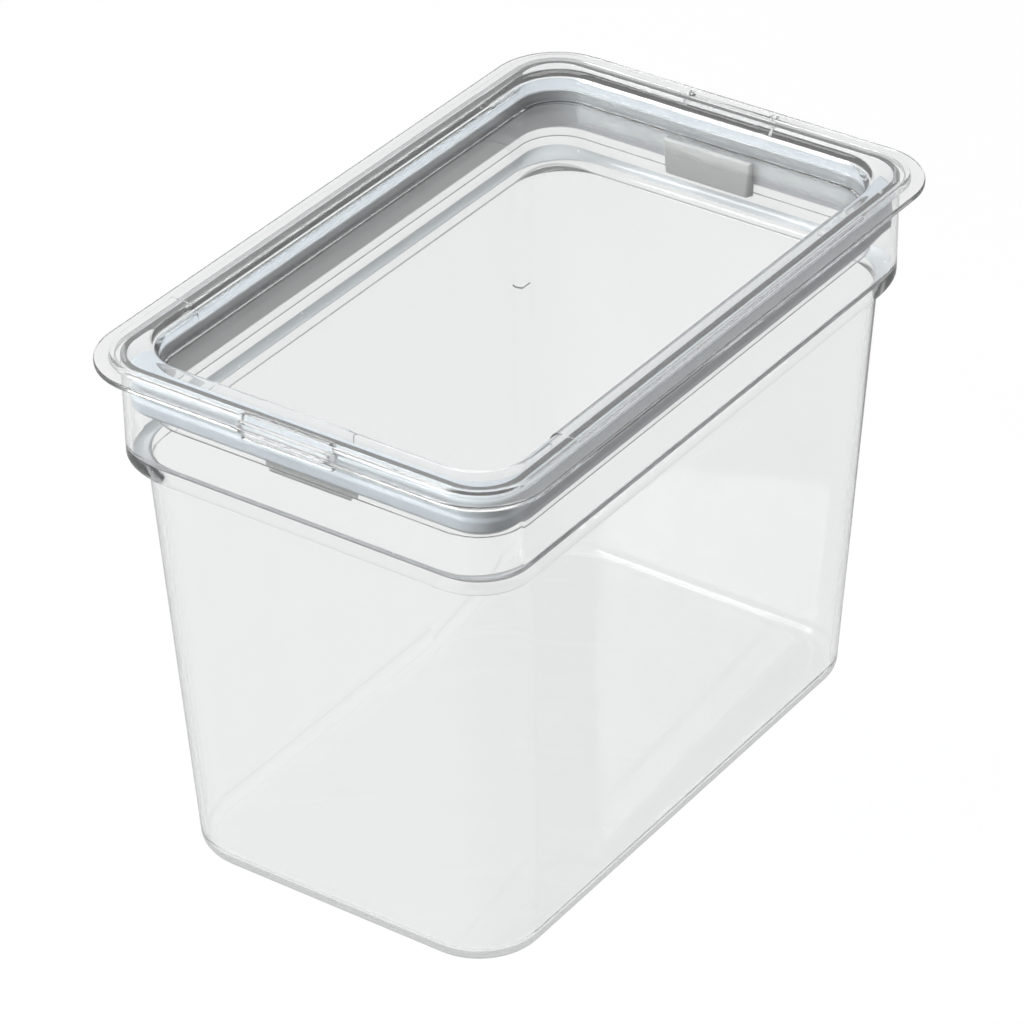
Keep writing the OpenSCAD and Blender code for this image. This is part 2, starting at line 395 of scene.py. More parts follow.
@dataclass(frozen=True)
class MouldedSurface:
    """Shader node group that gives moulded surfaces their faint waviness and handling haze.

    Attributes:
        name: the group's name.
        wave_detail: detail of the waviness.
        wave_depth: depth of the waviness at full strength, in metres.
        fineness: how many times finer the haze is than the waviness.
        haze_detail: detail of the haze.
        haze_roughness: how rough the haze's noise is.
        haze_spread: the noise levels at which the haze starts and is full.
    """

    name: str = "moulded_surface"
    wave_detail: float = 2.0
    wave_depth: float = 0.001
    fineness: float = 14.0
    haze_detail: float = 5.0
    haze_roughness: float = 0.65
    haze_spread: tuple[float, float] = (0.45, 0.75)

    def build(self) -> bpy.types.NodeTree:
        """Builds the group once.

        Returns:
            A group with inputs Scale, Wave, Haze and Roughness, and outputs Normal, Roughness and
            Mask.
        """
        found = bpy.data.node_groups.get(self.name)
        if found:
            return found
        group = bpy.data.node_groups.new(self.name, "ShaderNodeTree")
        face = group.interface
        for name, value in (("Scale", 60.0), ("Wave", 0.1), ("Haze", 0.02), ("Roughness", 0.05)):
            socket = face.new_socket(name, in_out="INPUT", socket_type="NodeSocketFloat")
            socket.default_value = value
        face.new_socket("Normal", in_out="OUTPUT", socket_type="NodeSocketVector")
        face.new_socket("Roughness", in_out="OUTPUT", socket_type="NodeSocketFloat")
        face.new_socket("Mask", in_out="OUTPUT", socket_type="NodeSocketFloat")
        nodes = Nodes(group)
        given = nodes.add("NodeGroupInput").outputs
        place = nodes.add("ShaderNodeTexCoord").outputs["Object"]
        wave = nodes.add(
            "ShaderNodeTexNoise",
            {"Vector": place, "Scale": given["Scale"], "Detail": self.wave_detail},
        )
        haze = nodes.add(
            "ShaderNodeTexNoise",
            {
                "Vector": place,
                "Scale": nodes.math("MULTIPLY", given["Scale"], self.fineness),
                "Detail": self.haze_detail,
                "Roughness": self.haze_roughness,
            },
        )
        start, full = self.haze_spread
        mask = nodes.add(
            "ShaderNodeMapRange",
            {"Value": haze.outputs["Fac"], "From Min": start, "From Max": full},
        ).outputs[0]
        amount = nodes.math("MULTIPLY", mask, given["Haze"])
        bump = nodes.add(
            "ShaderNodeBump",
            {
                "Strength": given["Wave"],
                "Distance": self.wave_depth,
                "Height": wave.outputs["Fac"],
            },
        )
        nodes.add(
            "NodeGroupOutput",
            {
                "Normal": bump.outputs["Normal"],
                "Roughness": nodes.math("ADD", amount, given["Roughness"]),
                "Mask": mask,
            },
        )
        return group


@dataclass(frozen=True)
class Finish:
    """A finish on moulded surfaces.

    Attributes:
        name: the material's name.
        roughness: roughness away from the handled patches.
        haze: extra roughness in handled patches.
        wave: strength of the waviness or grain.
        wave_scale: waves or grains per metre.
    """

    name: str
    roughness: float = 0.5
    haze: float = 0.12
    wave: float = 0.15
    wave_scale: float = 900.0

    def build(self) -> bpy.types.Material:
        """Builds the material.

        Returns:
            The material, made once.
        """
        if self.name in bpy.data.materials:
            return bpy.data.materials[self.name]
        material = bpy.data.materials.new(self.name)
        nodes = Nodes.of(material)
        surface = nodes.add(
            "ShaderNodeGroup",
            {
                "Scale": self.wave_scale,
                "Wave": self.wave,
                "Haze": self.haze,
                "Roughness": self.roughness,
            },
            node_tree=MouldedSurface().build(),
        )
        self.dress(nodes, surface.outputs)
        return material

    def dress(self, nodes: Nodes, surface: bpy.types.NodeOutputs) -> None:
        """Adds the finish's own shaders.

        Args:
            nodes: the material's nodes.
            surface: the outputs of the moulded surface group.
        """
        raise NotImplementedError


@dataclass(frozen=True)
class ClearPlastic(Finish):
    """Clear moulded plastic.

    Attributes:
        tint: colour of the transmission where the surface is looked at straight.
        edge: its colour where the surface is looked at along itself.
        edge_power: how narrow the zone with the edge colour is.
        ior: refractive index.
        depth_tint: colour of light that has gone a long way through the plastic.
        density: how strongly a long way through the plastic greys the light, per metre.
        milk: share of light that the plastic scatters.
        shadow: share of light that falls through on to what is behind.
    """

    name: str = "moulded_clear"
    roughness: float = 0.004
    haze: float = 0.012
    wave: float = 0.02
    wave_scale: float = 26.0
    tint: Triple = (0.994, 0.997, 0.995)
    edge: Triple = (0.93, 0.945, 0.95)
    edge_power: float = 3.0
    ior: float = 1.5
    depth_tint: Triple = (0.55, 0.62, 0.64)
    density: float = 12.0
    milk: float = 0.03
    shadow: Triple = (0.95, 0.955, 0.955)

    def dress(self, nodes: Nodes, surface: bpy.types.NodeOutputs) -> None:
        """Adds the clear body, which lets light fall through, and its depth.

        Args:
            nodes: the material's nodes.
            surface: the outputs of the moulded surface group.
        """
        facing = nodes.add("ShaderNodeLayerWeight", {"Blend": 0.5}).outputs["Facing"]
        grazing = nodes.math("POWER", facing, self.edge_power)
        tint = nodes.add(
            "ShaderNodeMix",
            {0: grazing, 6: (*self.tint, 1.0), 7: (*self.edge, 1.0)},
            data_type="RGBA",
        )
        plastic = nodes.add(
            "ShaderNodeBsdfPrincipled",
            {
                "Base Color": tint.outputs[2],
                "Transmission Weight": 1.0 - self.milk,
                "IOR": self.ior,
                "Roughness": surface["Roughness"],
                "Normal": surface["Normal"],
            },
        )
        clear = nodes.add("ShaderNodeBsdfTransparent", {"Color": (*self.shadow, 1.0)})
        falls = nodes.add("ShaderNodeLightPath").outputs["Is Shadow Ray"]
        mix = nodes.add(
            "ShaderNodeMixShader", {0: falls, 1: plastic.outputs[0], 2: clear.outputs[0]}
        )
        depth = nodes.add(
            "ShaderNodeVolumeAbsorption",
            {"Color": (*self.depth_tint, 1.0), "Density": self.density},
        )
        nodes.add(
            "ShaderNodeOutputMaterial",
            {"Surface": mix.outputs[0], "Volume": depth.outputs[0]},
        )


@dataclass(frozen=True)
class GreyPolymer(Finish):
    """Opaque grey elastomer or plastic with a fine matte grain.

    Attributes:
        colour: base colour.
        worn: how much lighter the handled patches are.
    """

    colour: Triple = (0.3, 0.3, 0.3)
    worn: float = 1.12

    def dress(self, nodes: Nodes, surface: bpy.types.NodeOutputs) -> None:
        """Adds the opaque body, a little lighter where it is handled.

        Args:
            nodes: the material's nodes.
            surface: the outputs of the moulded surface group.
        """
        lighter = tuple(min(1.0, c * self.worn) for c in self.colour)
        tint = nodes.add(
            "ShaderNodeMix",
            {"Factor": surface["Mask"], 6: (*self.colour, 1.0), 7: (*lighter, 1.0)},
            data_type="RGBA",
        )
        body = nodes.add(
            "ShaderNodeBsdfPrincipled",
            {
                "Base Color": tint.outputs[2],
                "Roughness": surface["Roughness"],
                "Normal": surface["Normal"],
            },
        )
        nodes.add("ShaderNodeOutputMaterial", {"Surface": body.outputs[0]})


# ---------------------------------------------------------------------------------------------
# Pieces
# ---------------------------------------------------------------------------------------------


@dataclass
class Piece:
    """What every piece needs to join the frame.

    Attributes:
        body: the body it moves with.
        slot: name of the record's material slot for it; nothing reads it.
    """

    body: str
    slot: str

    def place(
        self, mesh: bmesh.types.BMesh, name: str, node: str, *materials: bpy.types.Material
    ) -> None:
        """Turns a mesh into a piece that rides on its body and stands for its CAD node.

        Args:
            mesh: the finished mesh, in metres; it is freed.
            name: the piece's name.
            node: the CAD node it stands for.
            materials: its finishes, in the order of its material slots.
        """
        data = bpy.data.meshes.new(name)
        mesh.to_mesh(data)
        mesh.free()
        for material in materials:
            data.materials.append(material)
        data.shade_smooth()
        piece = bpy.data.objects.new(name, data)
        bpy.context.scene.collection.objects.link(piece)
        evened = piece.modifiers.new("evened_normals", "WEIGHTED_NORMAL")
        evened.keep_sharp = False
        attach(piece, self.body)
        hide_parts(node)
        LOG.info("%s: %d vertices on body %s", name, len(data.vertices), self.body)


@dataclass
class Bin(Piece):
    """Clear bin: foot, tapered body, ledge, rounded turn, collar and rim, in millimetres.

    Attributes:
        collar_radius: corner radius of the collar.
        collar_height: from the ledge's foot to the rim.
        collar_wall: thickness of the collar.
        ledge_in: how far the body's top stands inside the collar.
        ledge_turn: height of the rounded turn from the body to the collar, outside.
        turn_lift: how much higher the turn ends inside.
        turn_inner: height of the turn inside.
        turn_lead: plain wall between the taper's last ring and the turn.
        body_radius: corner radius of the body.
        taper_length: how far the foot draws in at each end.
        taper_width: how far the foot draws in at each side.
        body_wall: thickness of the body.
        floor: thickness of the floor.
        foot_round: radius of the foot's outer edge.
        floor_round: radius of the floor's inner edge.
        rim_round: radius of the rim's edges.
        painted_band_share: share of the inner turn's height that carries a milky grey-blue band, a
            painted reflection of the grey seal.
    """

    body: str = "bin"
    slot: str = "clear_plastic"
    collar_radius: float = 15.0
    collar_height: float = 38.2
    collar_wall: float = 2.1
    ledge_in: float = 2.4
    ledge_turn: float = 5.4
    turn_lift: float = 2.9
    turn_inner: float = 3.3
    turn_lead: float = 1.2
    body_radius: float = 22.4
    taper_length: float = 8.3
    taper_width: float = 6.3
    body_wall: float = 2.1
    floor: float = 3.0
    foot_round: float = 4.6
    floor_round: float = 3.6
    rim_round: float = 0.5
    painted_band_share: float = 0.8
    corner_steps: int = 16
    round_steps: int = 8
    finish: ClearPlastic = ClearPlastic()
    # Milky grey-blue finish on part of the inner turn: a painted reflection of the grey seal in the
    # ledge.
    ledge_painted_reflection: ClearPlastic = ClearPlastic(
        name="moulded_painted_reflection",
        tint=(0.93, 0.945, 0.97),
        edge=(0.93, 0.945, 0.97),
        wave=0.05,
        haze=0.1,
        roughness=0.2,
        milk=0.5,
    )

    def __post_init__(self) -> None:
        """Reads the outside sizes from the frame."""
        low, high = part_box("bin")
        self.width = (high.x - low.x) / MM
        self.length = (high.y - low.y) / MM
        self.rim = high.z / MM
        self.ledge = self.rim - self.collar_height
        self.turn = self.ledge + self.ledge_turn

    def body_outline(self, height: float) -> Outline:
        """Gives the tapered body's outline.

        Args:
            height: Z in millimetres.

        Returns:
            The outline at that height.
        """
        share = 1 - height / self.ledge
        return Outline(
            self.width - 2 * (self.ledge_in + self.taper_width * share),
            self.length - 2 * (self.ledge_in + self.taper_length * share),
            self.body_radius,
        )

    def turn_outline(self, share: float) -> Outline:
        """Gives an outline in the rounded turn.

        Args:
            share: 0 at the collar, 1 at the body.

        Returns:
            The outline between the two.
        """
        top = Outline(self.width, self.length, self.collar_radius)
        low = self.body_outline(self.ledge)
        return Outline(
            top.width + (low.width - top.width) * share,
            top.length + (low.length - top.length) * share,
            top.radius + (low.radius - top.radius) * share,
        )

    def foot_rings(self, floor: float, radius: float, inset: float) -> list[Ring]:
        """Lists the rings of a rounded foot edge, from the flat upwards.

        Args:
            floor: Z of the flat.
            radius: the edge's radius.
            inset: how far the wall above it lies inside the body's outline.

        Returns:
            The rings.
        """
        rings = []
        for step in range(self.round_steps + 1):
            angle = math.pi / 2 * step / self.round_steps
            height = floor + radius * (1 - math.cos(angle))
            drawn_in = inset + radius * (1 - math.sin(angle))
            rings.append(Ring(self.body_outline(height), drawn_in, height))
        return rings

    def turn_rings(self, inset_top: float, inset_low: float, top: float, drop: float) -> list[Ring]:
        """Lists the rings of the rounded turn, from its foot up to the plain collar.

        Args:
            inset_top: inset from the collar's outline at the top.
            inset_low: inset from the body's outline at the foot.
            top: Z of the turn's top.
            drop: the turn's height.

        Returns:
            The rings.
        """
        rings = []
        for step in range(self.round_steps + 1):
            angle = math.pi / 2 * (1 - step / self.round_steps)
            share = 1 - math.cos(angle)
            inset = inset_top + (inset_low - inset_top) * share
            rings.append(Ring(self.turn_outline(share), inset, top - drop * math.sin(angle)))
        return rings

    def rim_rings(self) -> list[Ring]:
        """Lists the rings over the rounded rim.

        Returns:
            The rings, from the outside to the inside.
        """
        rings = []
        for step in range(self.round_steps + 1):
            angle = math.pi * step / self.round_steps
            height = self.rim - self.rim_round * (1 - math.sin(angle))
            if step <= self.round_steps // 2:
                inset = self.rim_round * (1 - math.cos(angle))
            else:
                inset = self.collar_wall - self.rim_round * (1 + math.cos(angle))
            rings.append(Ring(self.turn_outline(0.0), inset, height))
        return rings

    def build(self) -> None:
        """Builds the bin."""
        inner_top = self.turn + self.turn_lift
        inside_turn = self.turn_rings(self.collar_wall, self.body_wall, inner_top, self.turn_inner)
        inside_foot = self.foot_rings(self.floor, self.floor_round, self.body_wall)
        below = self.ledge - self.turn_lead
        shell = RingLoft(all_corners(self.corner_steps))
        shell.grow_all(self.foot_rings(0.0, self.foot_round, 0.0))
        shell.grow_all([Ring(self.body_outline(below), 0.0, below)])
        shell.grow_all(self.turn_rings(0.0, 0.0, self.turn, self.ledge_turn))
        shell.grow_all(self.rim_rings())
        shell.grow_all(inside_turn[::-1] + inside_foot[::-1])
        mesh = shell.cap()
        # Faces in this band of the inner turn take the painted reflection of the grey seal.
        low = (inner_top - self.turn_inner) * MM
        high = low + self.painted_band_share * self.turn_inner * MM
        for face in mesh.faces:
            if low < face.calc_center_median().z < high:
                face.material_index = 1
        self.place(mesh, "bin_shell", "bin", self.finish.build(), self.ledge_painted_reflection.build())


@dataclass
class Lid(Piece):
    """Clear lid, in millimetres, with heights from the flange's top face.

    The flange and ridge are insets from the flange's edge. The recess, the panel and the skirt are
    insets from an outline of their own, which stands further in on the short sides.

    Attributes:
        radius: corner radius of the flange.
        flange: thickness of the flange, and height of the ridge over it.
        flange_round: how far the flange's edge is rounded.
        ridge_in: where the ridge starts.
        ridge_round: how far the ridge's outer edge is rounded.
        ridge_crown: how far the ridge's crown is drawn as part of the flange's outline.
        ridge_end: distance of a pad's ends from the lid's ends.
        ridge_step: how much the pad stands proud.
        recess_x: how far the recess's outline stands inside the flange's edge, on the long sides.
        recess_y: the same on the short sides.
        recess_radius: corner radius of the recess's outline.
        shoulder: how far the shoulder into the recess is rounded.
        shoulder_in: where the recess's wall starts.
        wall_foot: where the recess's wall ends.
        panel_depth: depth of the panel.
        panel: thickness of the panel.
        bead_height: height of the bead round the panel.
        bead_width: width of that bead.
        gate: diameter of the gate mark.
        skirt_out: outer face of the skirt over the seal.
        groove_in: bottom of the seal's groove.
        skirt_in: inner face of the skirt.
        rim_out: outer face of the skirt's rim.
        skirt_depth: depth of the skirt in the frame.
        rim_lift: how much higher the skirt's rim ends here.
        seal_top: top of the seal's groove.
        seal_foot: foot of the seal's groove.
        grip_half: half the length of a grip pocket.
        grip_lead: how far a pocket starts outside the ridge.
        grip_rise: height of a pocket's step.
        grip_run: depth of a pocket's step.
        grip_steps: number of steps.
        grip_skin: thickness of a pocket's skin.
        window_step: how far the recess's wall draws in beside a pocket.
    """

    body: str = "lid"
    slot: str = "clear_plastic"
    radius: float = 23.1
    flange: float = 1.9
    flange_round: float = 0.6
    ridge_in: float = 4.7
    ridge_round: float = 0.9
    ridge_crown: float = 2.8
    ridge_end: float = 47.0
    ridge_step: float = 0.45
    recess_x: float = 2.4
    recess_y: float = 4.9
    recess_radius: float = 28.0
    shoulder: float = 4.2
    shoulder_in: float = 12.4
    wall_foot: float = 13.2
    panel_depth: float = 8.0
    panel: float = 1.9
    bead_height: float = 0.4
    bead_width: float = 1.2
    gate: float = 5.5
    skirt_out: float = 11.2
    groove_in: float = 11.8
    skirt_in: float = 13.2
    rim_out: float = 11.5
    skirt_depth: float = 22.5
    rim_lift: float = 0.2
    seal_top: float = -4.2
    seal_foot: float = -19.4
    grip_half: float = 15.5
    grip_lead: float = 0.3
    grip_rise: float = 2.1
    grip_run: float = 0.8
    grip_steps: int = 3
    grip_skin: float = 1.0
    window_step: float = 0.3
    corner_steps: int = 16
    finish: ClearPlastic = ClearPlastic()

    def __post_init__(self) -> None:
        """Reads the outside sizes from the frame."""
        low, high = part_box("lid")
        self.width = (high.x - low.x) / MM
        self.length = (high.y - low.y) / MM
        self.zero = low.z / MM + self.skirt_depth
        self.rim = Outline(self.width, self.length, self.radius)
        self.recess = Outline(
            self.width - 2 * self.recess_x, self.length - 2 * self.recess_y, self.recess_radius
        )

    def stations(self) -> list[Station]:
        """Lists the places round the lid, with the sections that change there.

        Returns:
            The stations in order; a section changes over the short way `end`.
        """
        end = 0.15
        half = self.length / 2 - self.ridge_end
        pad = [
            (half + end, Stretch.PLAIN, Stretch.PLAIN),
            (half, Stretch.PAD, Stretch.PLAIN),
        ]
        skin = self.grip_half + self.grip_skin
        grip = [
            (skin + end, Stretch.PLAIN, Stretch.PLAIN),
            (skin, Stretch.PLAIN, Stretch.GRIP),
            (self.grip_half + end, Stretch.PLAIN, Stretch.GRIP),
            (self.grip_half, Stretch.GRIP, Stretch.GRIP),
        ]
        found: list[Station] = []
        for quarter in range(4):
            found += corner_stations(quarter, self.corner_steps)
            found += side_stations(quarter, grip if quarter in (0, 2) else pad)
        return found

    def filler(self, start: float, gap: float, height: float) -> list[Corner]:
        """Lists corners on a flat, which give a plain section as many rings as a grip's has.

        Args:
            start: inset of the first.
            gap: inset from one to the next.
            height: height of the flat.

        Returns:
            Two corners for each of a grip's steps.
        """
        return [Corner(start + gap * k, height, 0.08) for k in range(2 * self.grip_steps)]

    def stairs(self, wall: float, skin: float) -> list[Corner]:
        """Lists the corners of a pocket's steps, from the deepest outwards.

        Args:
            wall: inset of the pocket's inner wall.
            skin: how far the face lies under the steps' upper face.

        Returns:
            Two corners for each step.
        """
        corners = []
        for step in range(self.grip_steps):
            height = -(self.grip_steps - step) * self.grip_rise - skin
            corners.append(Corner(wall - step * self.grip_run, height))
            corners.append(Corner(wall - (step + 1) * self.grip_run, height))
        return corners

    def top_section(self, kind: Stretch) -> list[Ring]:
        """Gives the upper face's section, from the panel outwards.

        Args:
            kind: which section.

        Returns:
            Its rings, as many for each kind.
        """
        floor = -self.panel_depth
        bead = floor + self.bead_height
        inner = self.wall_foot + self.bead_width
        foot_in, shoulder_in, crown = self.wall_foot, self.shoulder_in, self.flange
        if kind is Stretch.PAD:
            shoulder_in += self.ridge_step
            foot_in += self.ridge_step * 0.3
            crown += self.ridge_step * 0.7
        if kind is Stretch.GRIP:
            shoulder_in += self.window_step
            foot_in += self.window_step
        inside = [
            Corner(inner + 3.0, floor),
            Corner(inner, floor, 0.15),
            Corner(inner, bead, 0.15),
            Corner(foot_in, bead, 0.3, 3),
            Corner(shoulder_in, crown, self.shoulder, 12),
            Corner(self.shoulder_in - self.shoulder - 0.3, crown),
        ]
        outside = [Corner(self.ridge_in + self.ridge_crown, crown)]
        if kind is Stretch.GRIP:
            start = self.ridge_in - self.grip_lead
            wall = start + self.grip_steps * self.grip_run
            stairs = self.stairs(wall, 0.0)
            outside += [Corner(wall, crown, 0.3), *stairs, Corner(start, 0.0)]
        else:
            outside += [Corner(self.ridge_in, crown, self.ridge_round)]
            outside += [Corner(self.ridge_in, 0.0, 0.25)]
            outside += self.filler(self.ridge_in - 0.5, -0.4, 0.0)
        outside += [
            Corner(0.0, 0.0, self.flange_round, 4),
            Corner(0.0, -self.flange, self.flange_round, 4),
            Corner(2 * self.flange_round, -self.flange),
        ]
        return rings_on(self.recess, inside) + rings_on(self.rim, outside)

    def under_section(self, kind: Stretch) -> list[Ring]:
        """Gives the lower face's section, from under the flange in to the panel's underside.

        Args:
            kind: which section.

        Returns:
            Its rings, as many for each kind.
        """
        low = -self.flange
        outside = [Corner(2 * self.flange_round, low)]
        if kind is Stretch.GRIP:
            start = self.ridge_in - self.grip_lead - self.grip_skin
            wall = start + self.grip_steps * self.grip_run + 2 * self.grip_skin
            outside += [Corner(start, low, 0.15), *self.under_stairs(start, wall)]
            outside += [Corner(wall, 0.0, 0.2)]
        else:
            channel = self.ridge_in + self.flange
            outside += self.filler(2.2, 0.5, low)
            outside += [Corner(channel, low), Corner(channel, 0.0, 0.3)]
        outside += [Corner(9.2, 0.0)]
        rim = -self.skirt_depth + self.rim_lift
        under = -self.panel_depth - self.panel
        inside = [
            Corner(self.skirt_out - 1.0, 0.0),
            Corner(self.skirt_out, 0.0, 0.5, 3),
            Corner(self.skirt_out, self.seal_top),
            Corner(self.groove_in, self.seal_top),
            Corner(self.groove_in, self.seal_foot),
            Corner(self.rim_out, self.seal_foot, 0.05),
            Corner(self.rim_out, rim, 0.4, 4),
            Corner(self.skirt_in, rim, 0.4, 4),
            Corner(self.skirt_in, under, 0.4, 4),
            Corner(self.skirt_in + 4.0, under),
        ]
        return rings_on(self.rim, outside) + rings_on(self.recess, inside)

    def under_stairs(self, start: float, wall: float) -> list[Corner]:
        """Lists the corners of the skin under a pocket's steps, inwards.

        Args:
            start: inset of the skin's outer wall.
            wall: inset of its inner wall.

        Returns:
            Two corners for each step.
        """
        corners = []
        for step in range(self.grip_steps):
            height = -(step + 1) * self.grip_rise - self.grip_skin
            deepest = step == self.grip_steps - 1
            corners.append(Corner(start + step * self.grip_run, height))
            corners.append(Corner(wall if deepest else start + (step + 1) * self.grip_run, height))
        return corners

    def gate_section(self) -> list[Corner]:
        """Gives the gate mark's section.

        Returns:
            Its corners, with radii as insets and heights above the panel.
        """
        radius = self.gate / 2
        return [
            Corner(radius - 0.8, self.bead_height),
            Corner(radius, self.bead_height, 0.15),
            Corner(radius, 0.0, 0.15),
            Corner(radius + 1.0, 0.0),
        ]

    def build(self) -> None:
        """Builds the lid."""
        shell = RingLoft(self.stations())
        panel = self.zero - self.panel_depth
        for radius, height in rounded(self.gate_section()):
            shell.grow(lambda s, r=radius, h=height: self.rim.round_point(s, r, panel + h))
        tops = {kind: self.top_section(kind) for kind in Stretch}
        unders = {kind: self.under_section(kind) for kind in Stretch}
        for index in range(len(tops[Stretch.PLAIN])):
            shell.grow(lambda s, k=index: tops[s.top][k].point(s, self.zero))
        for index in range(1, len(unders[Stretch.PLAIN])):
            shell.grow(lambda s, k=index: unders[s.under][k].point(s, self.zero))
        self.place(shell.cap(), "lid_shell", "lid", self.finish.build())


@dataclass
class Seal(Piece):
    """Grey seal ring on the skirt: a narrow upper lip and a broad lip that slants in downwards.

    Attributes:
        lid: the lid that carries it; heights are from its flange's top face.
        gap: room between the seal and its groove.
        waist: inset of the waist between the lips.
        flank: how far the flanks above and below the lips start from the waist and the groove.
        upper_lip: drops from the seal's top to the upper lip's flank, edges and waist.
        lower_lip: drops from the seal's top to the lower lip's waist and upper edge.
        lower_edge: height of the lower lip's lower edge.
        lower_flank: height where the slant under it starts.
        seam: heights on the inner face where the section starts and ends.
    """

    lid: Lid = field(default_factory=Lid)
    body: str = "lid"
    slot: str = "seal_rubber"
    gap: float = 0.1
    waist: float = 11.4
    flank: float = 0.8
    upper_lip: tuple[float, float, float, float] = (0.3, 1.6, 2.6, 3.6)
    lower_lip: tuple[float, float] = (6.2, 7.2)
    lower_edge: float = -14.9
    lower_flank: float = -16.6
    seam: tuple[float, float] = (-12.0, -12.6)
    finish: GreyPolymer = GreyPolymer(
        name="seal_elastomer",
        roughness=0.42,
        wave=0.1,
        wave_scale=700.0,
        colour=(0.42, 0.455, 0.49),
    )
    # Darker grey for the seal's inner face towards the skirt: painted shade for the shade that
    # falls there, not a colour of the elastomer.
    painted_shade: GreyPolymer = GreyPolymer(
        name="seal_painted_shade",
        roughness=0.3,
        wave=0.05,
        wave_scale=700.0,
        colour=(0.2, 0.215, 0.227),
    )

    def section(self) -> list[Ring]:
        """Gives the seal's section.

        Returns:
            Its rings, from the inner face over the top and the lips to the foot.
        """
        lid = self.lid
        low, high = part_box("gasket")
        tip = (lid.width - (high.x - low.x) / MM) / 2
        foot, top = lid.seal_foot + self.gap, lid.seal_top - self.gap
        root, waist = lid.groove_in - self.gap, self.waist
        upper = [
            Corner(root, self.seam[0]),
            Corner(root, top),
            Corner(root - self.flank, top),
        ]
        lips = [
            Corner(waist + self.flank, top - self.upper_lip[0]),
            Corner(tip, top - self.upper_lip[1], 0.4, 3),
            Corner(tip, top - self.upper_lip[2], 0.3, 3),
            Corner(waist, top - self.upper_lip[3], 0.3),
            Corner(waist, top - self.lower_lip[0], 0.3),
            Corner(tip, top - self.lower_lip[1], 0.5, 3),
            Corner(tip, self.lower_edge, 0.5, 3),
            Corner(waist + self.flank, self.lower_flank),
        ]
        lower = [
            Corner(root - self.flank, foot),
            Corner(root, foot, 0.3, 3),
            Corner(root, self.seam[1]),
        ]
        rings = rings_on(lid.recess, upper) + rings_on(lid.rim, lips)
        return rings + rings_on(lid.recess, lower)

    def build(self) -> None:
        """Builds the seal."""
        lid = self.lid
        shell = RingLoft(all_corners(lid.corner_steps))
        shell.grow_all(self.section(), lid.zero)
        mesh = shell.join()
        # Faces on the seal's inner face, towards the skirt, take the darker material: painted
        # shade.
        inner_face = lid.groove_in - self.gap - 0.05
        for face in mesh.faces:
            if all(lid.recess.depth(vert.co) > inner_face for vert in face.verts):
                face.material_index = 1
        self.place(mesh, "seal_ring", "gasket", self.finish.build(), self.painted_shade.build())


@dataclass
class Clip(Piece):
    """Grey block on the skirt's rim: a drafted, softly bevelled block with a foot under the rim.

    Attributes:
        lid: the lid that carries it.
        side: the short side that it hangs on.
        gap: room between the block and the skirt.
        draft: how much each end draws in towards the bottom.
        bevel: width of the bevels.
        foot: thickness of the foot.
        foot_lap: how far the foot reaches into the block.
        foot_in: how far the foot's ends stand inside the block's drafted ends.
        foot_clear: how far the foot stays inside the rim's outer face.
    """

    lid: Lid = field(default_factory=Lid)
    side: Side = Side.REAR
    body: str = "lid"
    slot: str = "grey_plastic"
    gap: float = 0.1
    draft: float = 1.3
    bevel: float = 0.8
    bevel_steps: int = 4
    foot: float = 0.8
    foot_lap: float = 0.4
    foot_in: float = 0.5
    foot_clear: float = 0.2
    finish: GreyPolymer = GreyPolymer(
        name="clip_polymer",
        roughness=0.55,
        wave=0.12,
        wave_scale=1500.0,
        colour=(0.277, 0.287, 0.278),
    )

    def build(self) -> None:
        """Builds the clip, on the rear side, and turns it over for the front."""
        node = f"clip_{self.side.name.lower()}"
        low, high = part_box(node)
        sign = self.side.value
        near = 0.1 * MM
        inner = low.y if sign > 0 else -high.y
        back = (self.lid.recess.length / 2 - self.lid.skirt_in - self.gap) * MM
        outer = (self.lid.recess.length / 2 - self.lid.rim_out - self.foot_clear) * MM
        lap, foot = back - self.foot_lap * MM, low.z + self.foot * MM
        foot_in = (self.draft + self.foot_in) * MM
        shape = bmesh.new()
        for y0, y1, z1, drawn_in in (
            (inner, back, high.z, 0.0),
            (lap, outer, foot, foot_in),
        ):
            block = bmesh.ops.create_cube(shape, size=1.0)["verts"]
            size = (high.x - low.x - 2 * drawn_in, y1 - y0, z1 - low.z)
            bmesh.ops.scale(shape, verts=block, vec=size)
            centre = ((low.x + high.x) / 2, (y0 + y1) / 2, (low.z + z1) / 2)
            bmesh.ops.translate(shape, verts=block, vec=centre)
        for vert in shape.verts:
            if vert.co.z < low.z + near and vert.co.y < back - near:
                vert.co.x -= math.copysign(self.draft * MM, vert.co.x)
        bmesh.ops.bevel(
            shape,
            geom=[e for e in shape.edges if any(v.co.y < inner + near for v in e.verts)],
            offset=self.bevel * MM,
            offset_type="OFFSET",
            segments=self.bevel_steps,
            profile=0.5,
            affect="EDGES",
            material=-1,
            clamp_overlap=True,
        )
        bmesh.ops.scale(shape, verts=shape.verts, vec=(1.0, sign, 1.0))
        bmesh.ops.recalc_face_normals(shape, faces=shape.faces)
        self.place(shape, node + "_block", node, self.finish.build())


# ---------------------------------------------------------------------------------------------
# Stage: the floor, the light and the camera
# ---------------------------------------------------------------------------------------------


